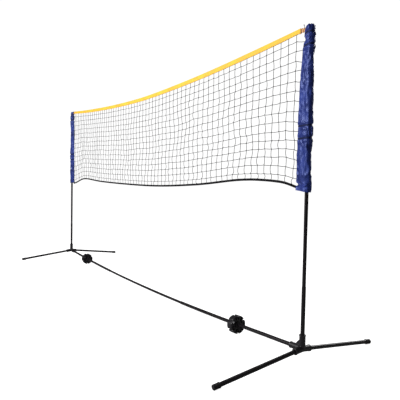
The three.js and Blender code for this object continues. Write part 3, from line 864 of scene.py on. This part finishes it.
def sleeve_tie(side, number):
    """A ribbon drawn round the sleeve, knotted on the outer side with two short tails."""
    z = TIE_LEVELS[number - 1]
    outline, _ = drop_outline(sleeve_reach(z), SLEEVE_POST_R, SLEEVE_NOSE_R)
    normals = outward_normals(outline)
    low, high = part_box(f"right_sleeve_tie_{number}")
    half = (high.z - low.z) / 2
    inner = TIE_CLEARANCE - TIE_PINCH
    outer = inner + TIE_RIBBON
    section = [(inner, -half), (outer, -half), (outer + 0.0002, 0.0), (outer, half), (inner, half)]
    rings = []
    for offset, rise in section:
        flat = outline + normals * offset
        rings.append(np.stack([POST_X - flat[:, 0], flat[:, 1], np.full(len(flat), z + rise)], 1))
    band = skin(to_side(np.array(rings), side), "loop")
    outer_x = POST_X + SLEEVE_POST_R + outer
    knot = trefoil(TIE_KNOT_SIZE, TIE_KNOT_R, 24, 8)[..., [2, 0, 1]] * (0.8, 1.0, 0.8)
    knot += (outer_x + 0.001, 0.0, z)
    parts = [band, skin(to_side(knot, side))]
    for lean in (-1, 1):
        drop = np.linspace(0, 1, 7)
        tail = np.stack([
            outer_x + 0.0015 + 0.0022 * np.sin(drop * 2.4),
            lean * (0.001 + 0.007 * drop),
            z - 0.002 - TIE_TAIL * drop ** 1.3,
        ], 1)
        parts.append(skin(to_side(sweep(tail, TIE_TAIL_R, 8, TIE_TAIL_SQUASH), side)))
    name = f"{side}_sleeve_tie_{number}"
    stand_in(add_mesh(name + "_ribbon", combine(parts), RIBBON), name)


for side in SIDES:
    sleeve(side)
    for number in (1, 2, 3, 4):
        sleeve_tie(side, number)


# ---------------------------------------------------------------- tape, hem and top ties
def soft_curve(x, xs, ys):
    """Heights at x on a smooth curve through (xs, ys)."""
    slopes = np.gradient(ys, xs)
    i = np.clip(np.searchsorted(xs, x) - 1, 0, len(xs) - 2)
    width = xs[i + 1] - xs[i]
    t = (x - xs[i]) / width
    low = ys[i] * (1 + 2 * t) * (1 - t) ** 2 + ys[i + 1] * t * t * (3 - 2 * t)
    return low + width * (slopes[i] * t * (1 - t) ** 2 + slopes[i + 1] * t * t * (t - 1))


def sway(x, size, seed):
    """A slow wander of a slack edge, in y."""
    return size * np.array([noise.noise((SWAY_RATE * value, 0.0, seed)) for value in np.atleast_1d(x)])


def tape_sway(x):
    """The top tape's wander in y."""
    return sway(x, TAPE_SWAY, 4.0)


def hem_sway(x):
    """The bottom hem's wander in y."""
    return sway(x, HEM_SWAY, 31.0)


def binding_section(height, half, bead, shell):
    """A folded tape's closed section as (y, distance from the fold), fold at 0."""
    def wrap(side_y, radius):
        flank = [(-side_y, height), (-side_y, height * 0.6), (-side_y, bead * 2.4)]
        arc = [
            (-radius * math.cos(a), bead - radius * math.sin(a))
            for a in np.linspace(-0.3, math.pi + 0.3, 11)
        ]
        return flank + arc + [(-y, z) for y, z in reversed(flank)]

    return np.array(wrap(half, bead) + wrap(half - shell, bead - shell)[::-1])


def binding(x, fold_z, hang, heights, half, bead, shell, edge_sway, pucker):
    """A tape folded over an edge. hang is -1 where it hangs from its fold and 1 where it stands on it."""
    rings = []
    for place, fold, height, swing in zip(x, fold_z, heights, edge_sway):
        section = binding_section(height, half, bead, shell)
        free = section[:, 1] / height
        ripple = pucker * math.sin(2 * math.pi * place / PUCKER_PITCH + 2 * math.sin(9 * place))
        y = section[:, 0] * (1 + 0.25 * abs(ripple) / pucker * free) + swing + ripple * free
        z = fold + hang * section[:, 1] * (1 + 0.01 * math.sin(41 * place))
        rings.append(np.stack([np.full(len(y), place), y, z], 1))
    return skin(np.array(rings))


def stitches(x, line_z, edge_sway):
    """Running stitches on both faces of a tape."""
    half = TAPE_HALF + STITCH_LIFT
    parts = []
    for face in (-1, 1):
        for place, z, swing in zip(x, line_z, edge_sway):
            ends = np.array([-0.5, -0.25, 0.25, 0.5])[:, None] * (STITCH_LENGTH, 0.0, 0.0)
            lift = np.array([0.0, 1.0, 1.0, 0.0])[:, None] * (0.0, face * STITCH_R, 0.0)
            path = ends + lift + (place, swing + face * half, z)
            parts.append(skin(sweep(path, STITCH_R, 6)))
    return combine(parts)


def top_tape():
    """The yellow tape folded over the net's top edge, with its stitches."""
    x = np.linspace(TAPE_X[0], TAPE_X[-1], TAPE_STEPS)
    top = soft_curve(x, TAPE_X, TAPE_HIGH)
    heights = top - soft_curve(x, TAPE_X, TAPE_LOW)
    part = binding(x, top, -1, heights, TAPE_HALF, TAPE_BEAD_R, TAPE_SHELL, tape_sway(x), TAPE_PUCKER)
    tape = stand_in(add_mesh("top_tape_cloth", part, YELLOW, 60), "top_tape")
    at = np.arange(TAPE_X[0] + STITCH_PITCH, TAPE_X[-1], STITCH_PITCH)
    line = soft_curve(at, TAPE_X, TAPE_LOW) + STITCH_INSET
    seam = add_mesh("top_tape_stitches", stitches(at, line, tape_sway(at)), THREAD)
    go_with(seam, "top_tape")


def bottom_hem():
    """The black tape folded under the net's bottom edge, with its stitches."""
    x = np.linspace(HEM_X[0], HEM_X[-1], TAPE_STEPS)
    low = soft_curve(x, HEM_X, HEM_LOW)
    heights = np.full(len(x), HEM_HEIGHT)
    part = binding(x, low, 1, heights, TAPE_HALF, TAPE_HALF, TAPE_SHELL, hem_sway(x), HEM_PUCKER)
    hem = stand_in(add_mesh("bottom_hem_cloth", part, BLACK_BINDING, 60), "bottom_hem")
    at = np.arange(HEM_X[0] + STITCH_PITCH, HEM_X[-1], STITCH_PITCH)
    line = soft_curve(at, HEM_X, HEM_LOW) + HEM_HEIGHT - HEM_STITCH_INSET
    seam = add_mesh("bottom_hem_stitches", stitches(at, line, hem_sway(at)), TWINE)
    go_with(seam, "bottom_hem")


def top_tie(side):
    """The webbing strap from the tape's end to the sleeve, with a lace wound round it."""
    name = side + "_top_tie"
    low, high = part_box("right_top_tie")
    start, end = low.x - STRAP_ON_TAPE, high.x + STRAP_ON_SLEEVE
    middle = (low.z + high.z) / 2
    share = np.linspace(0, 1, 12)
    x = start + (end - start) * share
    half_height = STRAP_HALF_HEIGHT - STRAP_TAPER * share + 0.0008 * np.sin(share * 9)
    centres = np.stack([x, 0.0008 * np.sin(share * 7), middle + 0.001 * np.sin(share * 5)], 1)
    right_half = [(0.6, 1), (1, 0.9), (1, -0.9), (0.6, -1)]
    corner = np.array([(-y, z) for y, z in reversed(right_half)] + right_half)
    rings = [
        centre + np.stack([np.zeros(8), corner[:, 0] * STRAP_HALF, corner[:, 1] * half], 1)
        for centre, half in zip(centres, half_height)
    ]
    strap = add_mesh(name + "_strap", skin(to_side(np.array(rings), side)), WEBBING)
    stand_in(strap, name)
    turns = np.linspace(0, LACE_TURNS * 2 * math.pi, 60)
    share = np.linspace(0, 1, 60)
    first, last = start + LACE_INSET, end + LACE_OVERRUN
    wound = np.stack([
        first + (last - first) * share,
        (STRAP_HALF + LACE_R + FIT_GAP) * np.sin(turns),
        middle + (LACE_HALF_HEIGHT - STRAP_TAPER * share) * np.cos(turns),
    ], 1)
    rise = np.linspace(0, 1, 8)
    tail = np.stack([
        start + LACE_TAIL_AT + 0.002 * np.sin(rise * 3),
        0.001 * np.sin(rise * 4),
        middle + LACE_TAIL_ABOVE + LACE_TAIL * rise,
    ], 1)
    knot = trefoil(LACE_KNOT_SIZE, LACE_R, 20, 6) + tail[-1]
    grids = [sweep(wound, LACE_R, 8), sweep(tail, LACE_R, 8), knot]
    lace = add_mesh(name + "_lace", combine([skin(to_side(grid, side)) for grid in grids]), LACE)
    go_with(lace, name)


top_tape()
bottom_hem()
for side in SIDES:
    top_tie(side)


# ---------------------------------------------------------------- net
def net_nodes():
    """Where the twines cross, as a (rows + 1, columns, 3) grid from the tape to the hem."""
    half = POST_X - SLEEVE_BOTTOM_REACH - NET_EDGE_GAP
    x = np.linspace(-half, half, NET_COLUMNS)
    cells = np.ones(NET_ROWS)
    cells[0], cells[-1] = NET_TOP_CELL, NET_BOTTOM_CELL
    share = np.concatenate([[0.0], np.cumsum(cells) / cells.sum()])
    nodes = np.empty((NET_ROWS + 1, NET_COLUMNS, 3))
    tape_z = soft_curve(x, TAPE_X, TAPE_LOW) + NET_TUCK
    hem_z = soft_curve(x, HEM_X, HEM_HIGH) - NET_TUCK
    for row, down in enumerate(share):
        for column, place in enumerate(x):
            z = tape_z[column] + (hem_z[column] - tape_z[column]) * down
            slack = math.sin(math.pi * down) * (0.6 + 0.8 * down)
            spot = (DRIFT_RATE[0] * place, DRIFT_RATE[1] * z)
            drift = np.array([noise.noise((*spot, seed)) for seed in (11.0, 12.0, 13.0)])
            shiver = random.normal(0.0, 1.0, 3)
            swing = (1 - down) * tape_sway(place)[0] + down * hem_sway(place)[0]
            nodes[row, column] = np.array([place, swing, z]) + slack * (DRIFT * drift + SHIVER * shiver)
    return nodes


def strand(knots, bows):
    """A path through its knots, with each stretch between two of them bowed."""
    steps = np.arange(CELL_STEPS) / CELL_STEPS
    path = []
    for start, end, bow in zip(knots[:-1], knots[1:], bows):
        for t in steps:
            path.append(start + (end - start) * t + bow * 4 * t * (1 - t))
    path.append(knots[-1])
    return np.array(path)


def random_axis():
    """A random direction."""
    return Vector(random.normal(0.0, 1.0, 3)).normalized()


def net():
    """All the twines as one piece, and the knots where they cross as another."""
    nodes = net_nodes()
    parts = []
    for column in range(NET_COLUMNS):
        down = (np.arange(NET_ROWS) + 0.5) / NET_ROWS
        bows = random.normal(0.0, 1.0, (NET_ROWS, 3)) * UPRIGHT_BOW
        bows *= (0.5 + 1.3 * down)[:, None]
        parts.append(skin(sweep(strand(nodes[:, column], bows), TWINE_R, TWINE_SIDES)))
    for row in range(1, NET_ROWS):
        line = nodes[row]
        anchors = []
        for inner, sign in ((line[0], -1), (line[-1], 1)):
            z = inner[2] - ANCHOR_DROP + ANCHOR_WANDER * random.normal()
            anchors.append(np.array([sign * (POST_X - sleeve_reach(z) + ANCHOR_TUCK), 0.0, z]))
        knots = np.vstack([anchors[0], line, anchors[1]])
        bows = random.normal(0.0, 1.0, (len(knots) - 1, 3)) * ACROSS_BOW
        bows[:, 2] -= ACROSS_SAG
        parts.append(skin(sweep(strand(knots, bows), TWINE_R, TWINE_SIDES)))
    stand_in(add_mesh("net_mesh_twine", combine(parts), TWINE), "net_mesh")
    knot = trefoil(KNOT_SIZE, KNOT_TWINE_R, 15, 5)
    knots = []
    for place in nodes[1:-1].reshape(-1, 3):
        turn = np.array(Matrix.Rotation(random.uniform(0, 6.28), 3, random_axis()))
        knots.append(skin(knot @ turn.T + place))
    go_with(add_mesh("net_mesh_knots", combine(knots), TWINE), "net_mesh")


net()


# ---------------------------------------------------------------- stage, light and camera
def white_studio():
    """A backdrop that looks white but lights the pieces only softly."""
    world = bpy.data.worlds.new("studio")
    world.use_nodes = True
    tree = world.node_tree
    background = tree.nodes["Background"]
    background.inputs["Color"].default_value = (1.0, 1.0, 1.0, 1.0)
    rays = tree.nodes.new("ShaderNodeLightPath")
    level = tree.nodes.new("ShaderNodeMapRange")
    level.inputs["To Min"].default_value = AMBIENT
    level.inputs["To Max"].default_value = BACKDROP
    tree.links.new(rays.outputs["Is Camera Ray"], level.inputs["Value"])
    tree.links.new(level.outputs["Result"], background.inputs["Strength"])
    bpy.context.scene.world = world
    bpy.context.scene.view_settings.view_transform = "Standard"


def studio_floor():
    """A pale floor that meets the backdrop without a line, and throws little light back up."""
    shade = Shade("pale_floor", 0.9, Specular_IOR_Level=0.0)
    shade.shader.inputs["Emission Color"].default_value = (1.0, 1.0, 1.0, 1.0)
    seen = shade.node("LightPath").outputs["Is Camera Ray"]
    glow = shade.node("MapRange", Value=seen, To_Min=0.0, To_Max=FLOOR_GLOW)
    shade.set(shade.shader.inputs["Emission Strength"], glow.outputs["Result"])
    colour = shade.ramp(shade.noise(2, 2), (0.0, (0.40, 0.40, 0.40)), (1.0, (0.44, 0.44, 0.44)))
    edges = (-FLOOR_HALF, FLOOR_HALF)
    grid = np.array([[(x, y, 0.0) for x in edges] for y in edges])
    corners = [(0, 0), (1, 0), (1, 1), (0, 1)]
    floor = add_mesh("floor", (grid.reshape(-1, 3), [(0, 1, 3, 2)], corners), shade.finish(colour))


def area_light(name, place, aim, size, power):
    """A round soft light, aimed at a point."""
    light = bpy.data.lights.new(name, "AREA")
    light.shape = "DISK"
    light.size = size
    light.energy = power
    obj = bpy.data.objects.new(name, light)
    obj.location = place
    obj.rotation_euler = (Vector(aim) - Vector(place)).to_track_quat("-Z", "Y").to_euler()
    bpy.context.scene.collection.objects.link(obj)


def studio_camera():
    """A camera past the right post and in front of the net, looking back along it."""
    data = bpy.data.cameras.new("camera")
    data.lens = CAMERA_LENS
    data.sensor_width = 36.0
    camera = bpy.data.objects.new("camera", data)
    camera.matrix_world = (
        Matrix.Translation(CAMERA_PLACE)
        @ Matrix.Rotation(CAMERA_YAW, 4, "Z")
        @ Matrix.Rotation(math.radians(90) + CAMERA_PITCH, 4, "X")
        @ Matrix.Rotation(CAMERA_ROLL, 4, "Z")
    )
    bpy.context.scene.collection.objects.link(camera)
    bpy.context.scene.camera = camera


white_studio()
studio_floor()
area_light("key", (-1.2, -5.0, 3.4), (0.2, 0.0, 0.9), 2.2, 420)
area_light("near", (0.7, -2.6, 1.5), (1.6, 0.0, 1.0), 0.9, 26)
area_light("back", (0.5, 4.5, 3.5), (0.0, 0.0, 0.8), 3.0, 170)
studio_camera()
